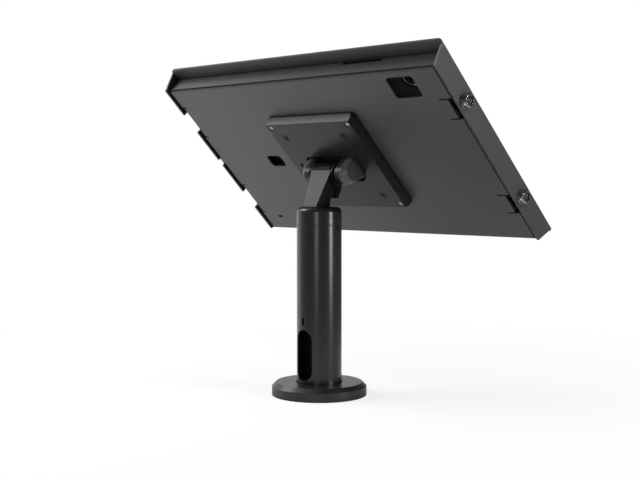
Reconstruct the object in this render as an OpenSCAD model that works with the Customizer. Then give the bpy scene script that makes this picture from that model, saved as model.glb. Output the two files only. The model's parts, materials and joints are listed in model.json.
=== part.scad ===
// Lockable tablet enclosure on a short counter pole, with a swivel collar and a tilting head.
// Millimetres. Z is up and the origin is the middle of the base, on the counter.
// The screen side looks towards -Y, so the back of the enclosure looks towards +Y.
// The long side of the enclosure and the tilt axis run along X.

/* [Base] */
// Diameter of the base disc
base_d = 88; // [78:1:130]
// Height of the base disc
base_h = 12; // [10:0.5:20]
// Height of the upright rim below the bevel
base_rim_h = 8.2; // [4:0.1:9]
// Width of the bevel, seen from above
base_bevel_w = 4; // [1:0.5:8]
// Thickness of the rubber pad let into the underside
pad_t = 1.5; // [1:0.1:2.5]
// Width of the metal rim round the pad
pad_rim_w = 3; // [2:0.5:6]
// Circle of the threaded holes for the counter bolts
counter_pcd = 62; // [58:1:66]
// Diameter of each threaded counter hole
counter_hole_d = 5; // [3:0.5:8]
// Depth of each threaded counter hole
counter_hole_l = 7; // [4:0.5:8]
// Diameter of the cable hole up through the base
base_cable_d = 16; // [8:1:17]

/* [Pole] */
// Outer diameter of the pole and of the collar
pole_d = 41.6; // [40:0.2:48]
// Wall of the pole tube
pole_wall = 2; // [1.5:0.1:3]
// Height of the tube above the base
pole_h = 145.6; // [100:0.1:400]
// Depth of the seat that the tube stands in
pole_seat = 1; // [0.5:0.1:2]
// Gap round the tube in its seat
seat_gap = 0.8; // [0.3:0.1:1.2]
// Thickness of the ring welded into the foot of the tube
foot_ring_t = 3; // [2.5:0.5:4]
// Circle of the screws that hold the tube down
foot_screw_pcd = 26; // [25:0.5:28]
// Shank diameter of the foot screws
foot_screw_d = 5; // [3:0.5:5]
// Width of the cable slot in the back of the tube
slot_w = 19; // [12:1:24]
// Height of the cable slot
slot_h = 47.5; // [30:0.5:60]
// Lower end of the cable slot above the base
slot_z = 2.2; // [1:0.1:20]
// Width of the small lock slot above the cable slot
lock_slot_w = 3; // [2:0.5:5]
// Height of the small lock slot
lock_slot_h = 7; // [5:0.5:10]
// Gap between the two slots
lock_slot_gap = 4; // [3:0.5:20]

/* [Swivel] */
// Gap between the tube and the collar
seam = 0.4; // [0.3:0.1:1]
// Height of the collar
collar_h = 16.3; // [10:0.1:24]
// Radius of the collar's rounded shoulder
collar_round = 5; // [1:0.5:6]
// Length of the bush pressed into the tube
bush_l = 18; // [10:1:30]
// Diameter of the collar's spindle
spindle_d = 20; // [18:0.5:24]
// Thickness of the swivel washer
swivel_washer_t = 2; // [1:0.5:4]
// Thickness of the swivel nut
swivel_nut_t = 6; // [4:0.5:10]
// Diameter of the bolt that holds the neck to the collar
neck_bolt_d = 6; // [4:0.5:6]

/* [Neck] */
// Height of the tilt axis above the collar
neck_rise = 29.9; // [28:0.1:50]
// Distance of the tilt axis in front of the pole axis
neck_reach = 12.8; // [6:0.1:14]
// Lean of the neck's back face from upright, in degrees
neck_lean = 24; // [12:1:26]
// Width of the neck at the collar
neck_foot_w = 16.6; // [14:0.2:20]
// Width of the neck at the top
neck_top_w = 25; // [20:0.2:27]
// Front of the neck's foot ahead of the pole axis
neck_foot_front = 7; // [5:0.5:9]
// Depth of the pocket in the collar that the neck stands in
neck_seat = 3; // [1:0.5:5]
// Height of the step at the front of the neck
neck_step_h = 7.7; // [4:0.1:9]
// Radius of the barrel that turns on the tilt axle
barrel_r = 11; // [9:0.1:11]
// Thickness of the neck's back cover
neck_cover_t = 1.6; // [1:0.1:2.5]
// Depth of the back cover's cheeks at the collar
cheek_w = 6.8; // [3:0.1:8]
// Depth of the fairing below the barrel
fairing_w = 6; // [3:0.5:7]

/* [Tilt head] */
// Angle of the back plate from upright as it stands, in degrees
rest_tilt = 45; // [0:1:90]
// Diameter of the tilt axle
axle_d = 8; // [6:0.5:8]
// Distance of the tilt axis from the back plate
axis_gap = 20; // [19:0.5:26]
// Space between the two ears
ear_gap = 33; // [32:0.5:38]
// Thickness of each ear
ear_t = 6; // [4:0.5:8]
// Radius of the ears' round noses
ear_r = 10; // [9:0.1:11]
// Reach of the ears' lower corners below the tilt axis
ear_foot = 19; // [14:0.5:21]
// Thickness of the cap over each ear
ear_cap_t = 7; // [6.5:0.5:9]
// Bevel of the ear caps at the nose
ear_cap_bevel = 5; // [2:0.5:5.5]
// Bevel of the ear caps along their sides
ear_cap_side = 1.5; // [0.5:0.1:2]
// Thickness of each friction disc
disc_t = 1.4; // [1:0.1:1.8]
// Thickness of each dished spring washer
spring_t = 1.8; // [1:0.1:2]
// Thickness of the web between the ears
web_t = 4; // [3:0.5:4]
// Width of the web across the screw pairs
web_h = 36; // [34:1:40]

/* [Mounting plate] */
// Spacing of the corner screws, a display mount standard
vesa = 100; // [100:100:200]
// Spacing of the second, inner square of screws
vesa_inner = 75; // [70:1:80]
// Margin of the steel mounting plate round its corner screws
plate_margin = 3; // [2.5:0.1:3.6]
// Thickness of the steel mounting plate
plate_t = 2.5; // [2:0.5:3]
// Margin of the plate cover round the corner screws, at its foot
plate_cover_margin = 7; // [6.4:0.1:12]
// Height of the plate cover
plate_cover_h = 9; // [8.5:0.5:10]
// Inward slope of the plate cover's sides
plate_cover_slope = 3; // [1:0.5:4]
// Wall of the plate cover
plate_cover_wall = 2; // [1.5:0.1:2.2]
// Gap between the plate cover and the tray
plate_cover_lift = 1.2; // [0.4:0.1:1.6]
// Corner radius of the plate cover
plate_cover_round = 5; // [3:0.5:8]
// Width of the cut-out for the ears
ear_window_w = 64; // [63:1:68]
// Upper edge of the cut-out above the tilt axis
ear_window_up = 11.8; // [11:0.1:14]
// Lower edge of the cut-out below the tilt axis
ear_window_down = 20; // [19:0.5:24]

/* [Enclosure] */
// Width of the display window
window_w = 268; // [240:1:310]
// Height of the display window
window_h = 168; // [148:1:200]
// Corner radius of the display window
window_round = 4; // [1:0.5:10]
// Width of the front cover's frame beside the window
border_w = 41.7; // [38:0.1:60]
// Width of the front cover's frame above and below the window
border_h = 26; // [24:0.5:40]
// Depth of the closed enclosure, without the ends of the side walls
case_depth = 20; // [19.5:0.5:28]
// How far the side walls stand past the tray's back
wall_proud = 1.6; // [0:0.1:1.8]
// Thickness of the front cover's sheet
cover_t = 2; // [1.5:0.1:2.2]
// Corner radius of the front cover
cover_round = 5; // [3:0.5:10]
// Outer radius of the front cover's folds
cover_fold = 2.6; // [2.3:0.1:4]
// Drop of the side walls' slanted ends at the back
gusset = 10; // [3:0.5:12]
// Thickness of the rear tray's sheet
tray_t = 2; // [1.5:0.1:2.2]
// Outer radius of the rear tray's folds
tray_fold = 2.6; // [2.3:0.1:4]
// Gap between the tray and the front cover's side walls
side_gap = 0.8; // [0.7:0.1:1.2]
// Overhang of the front cover past the tray, above
overhang = 12.4; // [11:0.1:16]
// Overhang of the front cover past the tray, below
overhang_low = 8.5; // [7:0.1:14]
// Gap between the tray's rim and the front cover
rim_gap = 0.3; // [0.3:0.1:1]
// Diameter of the front camera hole
front_camera_d = 7; // [4:0.5:8]

/* [Openings in the tray] */
// Width of the rear camera hole
camera_w = 29; // [20:1:36]
// Height of the rear camera hole
camera_h = 22.5; // [16:0.5:26]
// Centre of the rear camera hole from the tray's side edge
camera_side = 43.4; // [40:0.1:60]
// Centre of the rear camera hole from the tray's upper edge
camera_drop = 18.4; // [17:0.1:30]
// Radius of the sight hole in the foam behind the camera hole
sight_r = 4.5; // [3.5:0.1:4.6]
// Outer radius of the ring in the foam round the sight hole
sight_ring_r = 8; // [7:0.1:8.5]
// Width of the charging cable hole
cable_w = 20.5; // [14:0.5:24]
// Height of the charging cable hole
cable_h = 14.5; // [10:0.5:18]
// Centre of the charging cable hole, across
cable_x = 89.2; // [80:0.1:110]
// Length of the slot in the tray's upper rim
rim_slot_l = 48; // [20:1:80]
// Centre of the slot in the tray's upper rim
rim_slot_x = 84; // [60:1:100]
// Depth of the slot in the tray's upper rim
rim_slot_d = 3; // [1:0.5:6]

/* [Locks and hinge] */
// Distance of each lock and each hinge tongue from the middle
lock_y = 55; // [45:1:65]
// Distance of the lock axis behind the front cover's sheet
lock_back = 11; // [9:0.1:11.4]
// Diameter of the lock head
lock_head_d = 12; // [10.5:0.1:14]
// Height of the lock head
lock_head_h = 5.5; // [3:0.5:9]
// Diameter of the threaded lock body
lock_body_d = 9.4; // [8.6:0.1:9.8]
// Length of the lock body behind the wall's outer face
lock_body_l = 5.6; // [5.2:0.1:6]
// Diameter of the key ring's opening
key_d = 7; // [6:0.1:7.2]
// Width across the flats of the lock nut
lock_nut_w = 12; // [11.6:0.1:12.6]
// Thickness of the lock nut
lock_nut_t = 3; // [2:0.1:3.2]
// Width of the lock cam
cam_w = 8; // [6:0.5:9]
// Thickness of the lock cam
cam_t = 1.8; // [1:0.1:2]
// Height of each lock opening in the tray
bay_h = 23; // [22.5:0.5:30]
// Depth of each lock opening from the tray's edge
bay_w = 6.6; // [6.4:0.1:9]
// Length of the relief slits beside each lock tab
slit_l = 8.4; // [3:0.1:10]
// Width of the relief slits
slit_w = 1.5; // [1:0.1:2]
// Length of each hinge tongue
tongue_l = 24; // [12:1:30]
// Thickness of each hinge tongue
tongue_t = 1.5; // [1:0.1:2]
// Reach of each hinge tongue past the wall
tongue_reach = 5.6; // [5:0.1:6.2]
// Depth of the notches in the hinge wall
notch_d = 4.5; // [3:0.1:6]
// Length of the openings in the tray for the tongues
tongue_bay_l = 41.5; // [36:0.5:50]
// Depth of the openings for the tongues from the tray's edge
tongue_bay_w = 3.8; // [3.4:0.1:4.4]
// Length of the relief slits beside each hinge tab
tongue_slit_l = 3.9; // [2:0.1:6]
// Distance of the hinge line inside the cover's outer corner
hinge_in = 0.5; // [0.2:0.1:1.5]

/* [Lining] */
// Thickness of the foam under the tablet
liner_t = 7; // [4:0.5:7.5]
// Depth of the liner's pocket for the tablet
pocket_d = 6.4; // [4:0.1:6.8]
// How far the liner's pocket is wider than the window, on each side
pocket_side = 9; // [4:0.5:12]
// How far the liner's pocket is higher than the window, above and below
pocket_rise = 8; // [4:0.5:8]
// Corner radius of the liner's pocket
pocket_round = 9; // [2:0.5:14]
// Gap between the liner and the tray's walls
liner_gap = 1; // [0.5:0.1:1.4]
// Thickness of the strip behind the display window
gasket_t = 1.5; // [1:0.1:2]
// Width of the strip behind the display window
gasket_w = 8; // [4:0.5:9]

/* [Fits] */
// Radial clearance of turning and threaded fits
fit = 0.05; // [0.02:0.01:0.1]
// Gap between parts that only lie near each other
near = 0.3; // [0.2:0.05:0.4]

/* [Hidden] */
$fn = 96;
eps = 0.01;
big = 60;

// Heights along the pole
tube_bottom = base_h - pole_seat;
tube_top = base_h + pole_h;
collar_bottom = tube_top + seam;
collar_top = collar_bottom + collar_h;
slot_bottom = base_h + slot_z;
lock_slot_bottom = slot_bottom + slot_h + lock_slot_gap;
spindle_bottom = tube_top - bush_l - swivel_washer_t - swivel_nut_t - 3;

// Radii along the pole
pole_r = pole_d / 2;
bore_r = pole_r - pole_wall;
spindle_r = spindle_d / 2;
pad_r = base_d / 2 - pad_rim_w;
pad_hole_r = bore_r + 2;
counter_boss_r = counter_hole_d / 2 + 2;

// The tilt axis
pivot_y = -neck_reach;
pivot_z = collar_top + neck_rise;
axle_r = axle_d / 2;
axle_head_r = axle_r + 2.6;
axle_head_t = 3;

// The square plate and its cover keep their margins round the corner screws
plate_w = vesa + 2 * plate_margin;
plate_cover_w = vesa + 2 * plate_cover_margin;

// Levels in the plate frame: 0 is the tray's outer face, + is towards the screen
cover_back = case_depth - cover_t;
tray_depth = cover_back - rim_gap;
cover_w = window_w + 2 * border_w;
cover_h = window_h + 2 * border_h;
tray_w = cover_w - 2 * (cover_t + side_gap);
tray_h = cover_h - overhang - overhang_low;
tray_y = (overhang_low - overhang) / 2;
lock_z = cover_back - lock_back;
liner_z = tray_t + near / 2;
liner_top = liner_z + liner_t;

// The rear camera: the middle of its hole in the tray and of the sight hole in the foam
camera_x = camera_side - tray_w / 2;
camera_y = tray_y + tray_h / 2 - camera_drop;
sight_x = camera_x - 8.2;
sight_y = camera_y + 6;
sight_recess = 3;

// The locks: how far the cam reaches, and where the tab beside the opening stands
cam_l = lock_z + wall_proud - near;
cam_z = lock_body_l + 0.1;
tab_x = tray_w / 2 - bay_w;

// The hinge: its line, the tip of its tongues and the height that the tongues need as they swing out
hinge_x = cover_w / 2 - hinge_in;
hinge_z = hinge_in;
wall_x = cover_w / 2 - cover_t;
tongue_tip_x = wall_x - tongue_reach;
tongue_tab_x = tray_w / 2 - tongue_bay_w;
tongue_sweep = norm([hinge_x - tongue_tip_x, notch_d + tongue_t - hinge_z]);
tongue_slot_z = hinge_z + sqrt(pow(tongue_sweep, 2) - pow(hinge_x - tongue_tab_x, 2)) + near;

// Screw sizes that repeat
head_screw_r = 2;
corner_screw_r = 1.5;
corner_head_r = 2.2;
inner_head_r = 3.2;
inner_recess_r = 3.8;
bracket_screw_r = 2.5;
bracket_screw_x = 10;
bracket_screw_y = 13;
boss_r = 5;

// The frame of the tilting head: the origin lies on the tilt axis
module head_frame() {
    translate([0, pivot_y, pivot_z])
        rotate([90 - rest_tilt, 0, 0])
            children();
}

// The frame of the enclosure: the origin lies on the tray's outer face
module plate_frame() {
    head_frame()
        translate([0, 0, axis_gap])
            children();
}

// The frame of a lock: the origin lies on the wall's outer face and z points out of the wall
module lock_frame(side) {
    plate_frame()
        translate([-cover_w / 2, side * lock_y, lock_z])
            rotate([0, -90, 0])
                children();
}

// A rectangle with round corners
module rounded_rect(w, h, r) {
    square([w - 2 * r, h], center = true);
    square([w, h - 2 * r], center = true);
    for (x = [-1, 1], y = [-1, 1])
        translate([x * (w / 2 - r), y * (h / 2 - r)])
            circle(r, $fn = 48);
}

// A rectangle that starts at y = 0, with its two lower corners round
module fold_profile(w, d, r) {
    translate([-w / 2, r])
        square([w, d - r]);
    translate([-w / 2 + r, 0])
        square([w - 2 * r, d]);
    for (x = [-1, 1])
        translate([x * (w / 2 - r), r])
            circle(r, $fn = 48);
}

// A block from z = 0 to z = d whose four lower edges are folded round
module folded_block(w, h, d, r) {
    intersection() {
        rotate([90, 0, 0])
            linear_extrude(h, center = true)
                fold_profile(w, d, r);
        rotate([90, 0, 90])
            linear_extrude(w, center = true)
                fold_profile(h, d, r);
    }
}

// A round bar along X, centred
module bar_x_axis(r, l) {
    rotate([0, 90, 0])
        cylinder(r = r, h = l, center = true);
}

// Draws its children at the four corners of a square or rectangle
module at_corners(w, h) {
    for (x = [-1, 1], y = [-1, 1])
        translate([x * w / 2, y * h / 2, 0])
            children();
}

// Draws its children at three places round a circle
module at_three(pcd, turn = 0) {
    for (i = [0:2])
        rotate([0, 0, turn + 120 * i])
            translate([pcd / 2, 0, 0])
                children();
}

// A countersunk screw: its flat head is at z = 0 and its shank points up
module countersunk_screw(r, head_r, l) {
    cylinder(r1 = head_r, r2 = r, h = head_r - r);
    cylinder(r = r, h = l);
}

// The base: a steel disc with an upright rim, a bevel and a flat top
module base_disc() {
    color("#2b2b2c")
    difference() {
        rotate_extrude()
            polygon([
                [0, 0],
                [base_d / 2, 0],
                [base_d / 2, base_rim_h],
                [base_d / 2 - base_bevel_w, base_h],
                [0, base_h]
            ]);
        translate([0, 0, -eps])
            cylinder(r = base_cable_d / 2, h = base_h + 1);
        translate([0, 0, tube_bottom])
            cylinder(r = pole_r + seat_gap, h = base_h);
        translate([0, 0, -eps])
            difference() {
                cylinder(r = pad_r + near, h = pad_t + eps);
                translate([0, 0, -1])
                    cylinder(r = pad_hole_r - near, h = pad_t + 2);
                at_three(counter_pcd, 90)
                    translate([0, 0, -1])
                        cylinder(r = counter_boss_r, h = pad_t + 2);
            }
        at_three(counter_pcd, 90)
            translate([0, 0, -eps])
                cylinder(r = counter_hole_d / 2, h = pad_t + counter_hole_l);
        at_three(foot_screw_pcd, 30)
            translate([0, 0, -eps])
                countersunk_screw(foot_screw_d / 2 + fit, foot_screw_d / 2 + 2.2, base_h + 1);
    }
}

// The rubber ring let into the underside of the base, flush with it
module base_pad() {
    color("#151515")
    difference() {
        cylinder(r = pad_r, h = pad_t);
        translate([0, 0, -1])
            cylinder(r = pad_hole_r, h = pad_t + 2);
        at_three(counter_pcd, 90)
            translate([0, 0, -1])
                cylinder(r = counter_boss_r + near, h = pad_t + 2);
    }
}

// Three countersunk screws up through the base into the foot of the tube
module foot_screws() {
    color("#8d8f92")
    at_three(foot_screw_pcd, 30)
        difference() {
            translate([0, 0, 0.2])
                countersunk_screw(foot_screw_d / 2, foot_screw_d / 2 + 1.9, tube_bottom + foot_ring_t - 0.2);
            cylinder(r = 1.5, h = 2.4, $fn = 6);
        }
}

// A slot with round ends, upright in the wall at +Y
module wall_slot(w, h, bottom) {
    r = w / 2;
    translate([0, 0, bottom])
        rotate([-90, 0, 0])
            mirror([0, 1, 0])
                linear_extrude(pole_d)
                    union() {
                        translate([0, r])
                            circle(r, $fn = 48);
                        translate([0, h - r])
                            circle(r, $fn = 48);
                        translate([-r, r])
                            square([w, h - w]);
                    }
}

// The pole: a steel tube with a ring in its foot, a cable slot and a small lock slot
module pole_tube() {
    color("#262627")
    difference() {
        union() {
            difference() {
                translate([0, 0, tube_bottom])
                    cylinder(r = pole_r, h = tube_top - tube_bottom);
                translate([0, 0, tube_bottom - 1])
                    cylinder(r = bore_r, h = pole_h + base_h);
            }
            translate([0, 0, tube_bottom])
                cylinder(r = bore_r + eps, h = foot_ring_t);
        }
        translate([0, 0, tube_bottom - 1])
            cylinder(r = base_cable_d / 2, h = foot_ring_t + 2);
        at_three(foot_screw_pcd, 30)
            translate([0, 0, tube_bottom - 1])
                cylinder(r = foot_screw_d / 2 + fit, h = foot_ring_t + 2);
        wall_slot(slot_w, slot_h, slot_bottom);
        wall_slot(lock_slot_w, lock_slot_h, lock_slot_bottom);
    }
}

// The nylon bush in the top of the tube, which carries the collar
module swivel_bush() {
    color("#1b1b1c")
    difference() {
        translate([0, 0, tube_top - bush_l])
            cylinder(r = bore_r - fit, h = bush_l + seam);
        translate([0, 0, tube_top - bush_l - 1])
            cylinder(r = spindle_r + fit, h = bush_l + 3);
    }
}

// Outline of the neck's foot, seen from above
module foot_pocket(extra) {
    back = neck_back_y(collar_top) + extra;
    front = -neck_foot_front - extra;
    translate([-neck_foot_w / 2 - extra, front])
        square([neck_foot_w + 2 * extra, back - front]);
}

// The collar that swivels on the pole, with its spindle, its round shoulder and the neck's pocket
module head_collar() {
    shoulder_z = collar_top - collar_round;
    color("#262627")
    difference() {
        union() {
            translate([0, 0, collar_bottom])
                cylinder(r = pole_r, h = shoulder_z - collar_bottom);
            rotate_extrude()
                translate([0, shoulder_z]) {
                    square([pole_r - collar_round, collar_round]);
                    intersection() {
                        translate([pole_r - collar_round, 0])
                            circle(collar_round, $fn = 64);
                        square([pole_r, collar_round]);
                    }
                }
            translate([0, 0, spindle_bottom])
                cylinder(r = spindle_r, h = collar_bottom - spindle_bottom + 1);
        }
        translate([0, 0, spindle_bottom - 1])
            cylinder(r = neck_bolt_d / 2 + fit, h = collar_top);
        translate([0, 0, spindle_bottom - 1])
            cylinder(r = neck_bolt_d / 2 + 2.5, h = collar_bottom - spindle_bottom + 1);
        translate([0, 0, collar_top - neck_seat])
            linear_extrude(neck_seat + 1)
                foot_pocket(near / 2);
    }
}

// The thrust washer under the bush
module swivel_washer() {
    color("#9a9c9f")
    difference() {
        translate([0, 0, tube_top - bush_l - swivel_washer_t - near / 2])
            cylinder(r = bore_r - 2, h = swivel_washer_t);
        translate([0, 0, spindle_bottom])
            cylinder(r = spindle_r + fit, h = big);
    }
}

// The thin hexagon nut that sets how stiffly the collar turns
module swivel_nut() {
    color("#9a9c9f")
    translate([0, 0, tube_top - bush_l - swivel_washer_t - swivel_nut_t - near])
        difference() {
            cylinder(r = (spindle_r + 3.4) / cos(30), h = swivel_nut_t, $fn = 6);
            translate([0, 0, -1])
                cylinder(r = spindle_r + fit, h = swivel_nut_t + 2);
        }
}

// The socket bolt up through the spindle into the neck
module neck_bolt() {
    r = neck_bolt_d / 2;
    color("#8d8f92")
    difference() {
        union() {
            translate([0, 0, collar_bottom - neck_bolt_d])
                cylinder(r = r + 2, h = neck_bolt_d);
            translate([0, 0, collar_bottom - 1])
                cylinder(r = r, h = collar_h + 9);
        }
        translate([0, 0, collar_bottom - neck_bolt_d - 1])
            cylinder(r = r - 0.3, h = 4, $fn = 6);
    }
}

// Distance in front of or behind the pole axis of a line that leans with the neck's back face,
// a given way in from the barrel's surface, at height z
function neck_back_y(z, inset = 0) =
    pivot_y + (barrel_r - inset - (z - pivot_z) * sin(neck_lean)) / cos(neck_lean);

// Side view of the neck's stem behind the tilt axis, up to the line where it meets the barrel
module stem_side(inset) {
    r = barrel_r - inset;
    z0 = collar_top - neck_seat;
    polygon([
        [-neck_foot_front, z0],
        [neck_back_y(z0 + neck_seat, inset), z0],
        [neck_back_y(z0 + neck_seat, inset), z0 + neck_seat],
        [pivot_y + r * cos(neck_lean), pivot_z + r * sin(neck_lean)],
        [pivot_y, pivot_z],
        [pivot_y + 0.8, pivot_z],
        [pivot_y + 0.8, collar_top + neck_step_h],
        [-neck_foot_front, collar_top + neck_step_h]
    ]);
}

// Extrudes a (Y, Z) side view across X
module across(w) {
    rotate([90, 0, 90])
        linear_extrude(w, center = true)
            children();
}

// The wedge that narrows the neck towards the collar, seen from the front
module neck_front_view(side_inset) {
    foot = neck_foot_w / 2 - side_inset;
    top = neck_top_w / 2 - side_inset;
    top_z = pivot_z + barrel_r + 1;
    translate([0, big, 0])
        rotate([90, 0, 0])
            linear_extrude(2 * big)
                polygon([
                    [-foot, collar_top - neck_seat - 1],
                    [foot, collar_top - neck_seat - 1],
                    [foot, collar_top],
                    [top, pivot_z],
                    [top, top_z],
                    [-top, top_z],
                    [-top, pivot_z],
                    [-foot, collar_top]
                ]);
}

// The cast neck: a stem that widens and leans forward into a barrel round the tilt axle
module neck_arm() {
    cheek_t = 1.3;
    color("#1d1d1e")
    difference() {
        union() {
            intersection() {
                across(neck_top_w + 2)
                    stem_side(neck_cover_t + near / 2);
                union() {
                    neck_front_view(cheek_t + near / 2);
                    translate([-neck_foot_w / 2, -big, 0])
                        cube([neck_foot_w, 2 * big, collar_top]);
                }
            }
            translate([0, pivot_y, pivot_z])
                bar_x_axis(barrel_r - neck_cover_t - near / 2, neck_top_w);
            translate([0, pivot_y, pivot_z])
                bar_x_axis(barrel_r, neck_top_w - 2 * cheek_t - 1);
        }
        translate([0, pivot_y, pivot_z])
            bar_x_axis(axle_r + fit, neck_top_w + 2);
        translate([0, 0, collar_top - neck_seat - 1])
            cylinder(r = neck_bolt_d / 2 + fit, h = neck_seat + 12);
        neck_cover_space();
    }
}

// What the back cover takes up, so that the neck leaves room for it
module neck_cover_space() {
    top_z = pivot_z + barrel_r * sin(neck_lean);
    across(neck_top_w + 4)
        polygon([
            [neck_back_y(collar_top, neck_cover_t + near / 2), collar_top],
            [neck_back_y(collar_top) + 2, collar_top],
            [neck_back_y(top_z) + 2, top_z],
            [neck_back_y(top_z, neck_cover_t + near / 2), top_z]
        ]);
}

// Side view of the back cover: a thin skin on the leaning face with tapered cheeks
module neck_cover_side(t, cheek) {
    z0 = collar_top + near / 2;
    top_z = pivot_z + (barrel_r - t) * sin(neck_lean);
    polygon([
        [neck_back_y(z0, t + cheek), z0],
        [neck_back_y(z0), z0],
        [neck_back_y(top_z), top_z],
        [neck_back_y(top_z, t), top_z]
    ]);
}

// The back cover of the neck, the lightest face that the head shows from behind
module neck_back_cover() {
    cheek_t = 1.3;
    color("#39393a")
    difference() {
        intersection() {
            across(neck_top_w + 2)
                neck_cover_side(neck_cover_t, cheek_w);
            neck_front_view(0);
        }
        intersection() {
            across(neck_top_w + 4)
                translate([-near / 2, 0])
                    polygon([
                        [-big, collar_top - 1],
                        [neck_back_y(collar_top - 1, neck_cover_t), collar_top - 1],
                        [neck_back_y(pivot_z + big, neck_cover_t), pivot_z + big],
                        [-big, pivot_z + big]
                    ]);
            neck_front_view(cheek_t);
        }
        translate([0, pivot_y, pivot_z])
            bar_x_axis(barrel_r - neck_cover_t, neck_top_w + 2);
    }
}

// The fairing under the front of the barrel
module neck_fairing() {
    back = pivot_y + 0.8 - near;
    low = collar_top + neck_step_h;
    color("#1d1d1e")
    intersection() {
        difference() {
            across(neck_top_w)
                polygon([
                    [back, low],
                    [back - fairing_w / 2, low],
                    [back - fairing_w, low + fairing_w + 2],
                    [back - fairing_w, pivot_z],
                    [back, pivot_z]
                ]);
            translate([0, pivot_y, pivot_z])
                bar_x_axis(barrel_r + near, neck_top_w + 2);
        }
        neck_front_view(0);
    }
}

// A pair of rings on the tilt axle, one on each side of the barrel
module axle_rings(r, from, t) {
    for (side = [-1, 1])
        translate([0, pivot_y, pivot_z])
            rotate([0, side * 90, 0])
                translate([0, 0, from])
                    difference() {
                        cylinder(r = r, h = t);
                        translate([0, 0, -1])
                            cylinder(r = axle_r + fit, h = t + 2);
                    }
}

// The friction discs against the barrel's ends
module friction_discs() {
    color("#4b4b4d")
    axle_rings(barrel_r - 0.2, neck_top_w / 2 + 0.1, disc_t);
}

// The dished washers that press the discs on
module spring_washers() {
    color("#2a2a2b")
    axle_rings(barrel_r - 3, neck_top_w / 2 + 0.2 + disc_t, spring_t);
}

// The lower corner of an ear, as a point of its side view
function ear_corner() = [-ear_foot, plate_t];

// The point where the line from an ear's lower corner touches a round nose of radius r round c
function nose_touch(foot, c, r) =
    let (
        v = c - foot,
        d = norm(v),
        turn = atan2(v[1], v[0]) + asin(r / d),
        l = sqrt(d * d - r * r)
    )
    foot + l * [cos(turn), sin(turn)];

// Side view of an ear: across is up the plate, up is away from it. Its sides can be drawn in
// and its nose drawn back towards the plate.
module ear_side(shrink = 0, drop = 0) {
    c = [0, axis_gap - drop];
    r = ear_r - shrink;
    foot = ear_corner() + [shrink, 0];
    polygon([foot, [r, plate_t], [r, c[1]], c, nose_touch(foot, c, r)]);
    translate(c)
        circle(r, $fn = 64);
}

// Places an ear's side view in the plate frame, with its inner face at x = from
module ear_plate(side, from, t, shrink = 0, drop = 0) {
    multmatrix([
        [0, 0, side, side * from],
        [1, 0, 0, 0],
        [0, -1, 0, 0],
        [0, 0, 0, 1]
    ])
        linear_extrude(t)
            ear_side(shrink, drop);
}

// The bracket that carries the enclosure: two ears with the tilt bores on a web
module tilt_bracket() {
    span = ear_gap + 2 * ear_t;
    color("#2f2f30")
    plate_frame()
        difference() {
            union() {
                translate([-span / 2, -web_h / 2, -plate_t - web_t])
                    cube([span, web_h, web_t]);
                ear_plate(1, ear_gap / 2, ear_t);
                ear_plate(-1, ear_gap / 2, ear_t);
            }
            translate([0, 0, -axis_gap])
                bar_x_axis(axle_r + fit, span + 2);
            at_corners(2 * bracket_screw_x, 2 * bracket_screw_y)
                translate([0, 0, -plate_t - web_t - 1])
                    cylinder(r = bracket_screw_r + fit, h = web_t + 2);
        }
}

// A bevelled cap over one ear, hollow where the axle ends
module ear_cap(side) {
    from = ear_gap / 2 + ear_t + 0.1;
    color("#303031")
    plate_frame()
        difference() {
            hull() {
                ear_plate(side, from, 1);
                ear_plate(side, from + ear_cap_t - 0.5, 0.5, ear_cap_side, ear_cap_bevel - ear_cap_side);
            }
            translate([0, 0, -axis_gap])
                rotate([0, side * 90, 0])
                    translate([0, 0, from - 1])
                        cylinder(r = axle_head_r + near, h = axle_head_t + 1.5, $fn = 48);
            translate([0, 0, -plate_t / 2])
                cube([2 * big + ear_gap, 2 * big, 2 * plate_t], center = true);
        }
}

module left_ear_cap() {
    ear_cap(1);
}

module right_ear_cap() {
    ear_cap(-1);
}

// The axle: a bolt whose head lies in the right cap
module tilt_axle() {
    seat = ear_gap / 2 + ear_t;
    color("#8d8f92")
    head_frame()
        rotate([0, 90, 0])
            translate([0, 0, -seat]) {
                cylinder(r = axle_r, h = 2 * seat + axle_head_t + 0.2);
                translate([0, 0, -axle_head_t])
                    cylinder(r = axle_head_r, h = axle_head_t, $fn = 6);
            }
}

// The lock nut at the axle's other end
module axle_nut() {
    color("#8d8f92")
    head_frame()
        rotate([0, 90, 0])
            translate([0, 0, ear_gap / 2 + ear_t + 0.1])
                difference() {
                    cylinder(r = axle_head_r, h = axle_head_t, $fn = 6);
                    translate([0, 0, -1])
                        cylinder(r = axle_r + fit, h = axle_head_t + 2);
                }
}

// Four countersunk screws through the mounting plate into the bracket's web
module bracket_screws() {
    color("#8d8f92")
    plate_frame()
        at_corners(2 * bracket_screw_x, 2 * bracket_screw_y)
            translate([0, 0, -0.1])
                rotate([180, 0, 0])
                    countersunk_screw(bracket_screw_r, bracket_screw_r + 1.9, plate_t + web_t - 0.4);
}

// The steel mounting plate between the head and the tray
module mounting_plate() {
    color("#2b2b2c")
    plate_frame()
        difference() {
            translate([0, 0, -plate_t])
                linear_extrude(plate_t)
                    rounded_rect(plate_w, plate_w, plate_cover_round);
            at_corners(vesa, vesa)
                translate([0, 0, -plate_t - 1])
                    cylinder(r = head_screw_r + fit, h = plate_t + 2);
            at_corners(vesa_inner, vesa_inner)
                translate([0, 0, -plate_t - 1])
                    cylinder(r = head_screw_r + fit, h = plate_t + 2);
            at_corners(2 * bracket_screw_x, 2 * bracket_screw_y)
                translate([0, 0, eps])
                    rotate([180, 0, 0])
                        countersunk_screw(bracket_screw_r + fit, bracket_screw_r + 2.2, plate_t + 1);
        }
}

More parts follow.
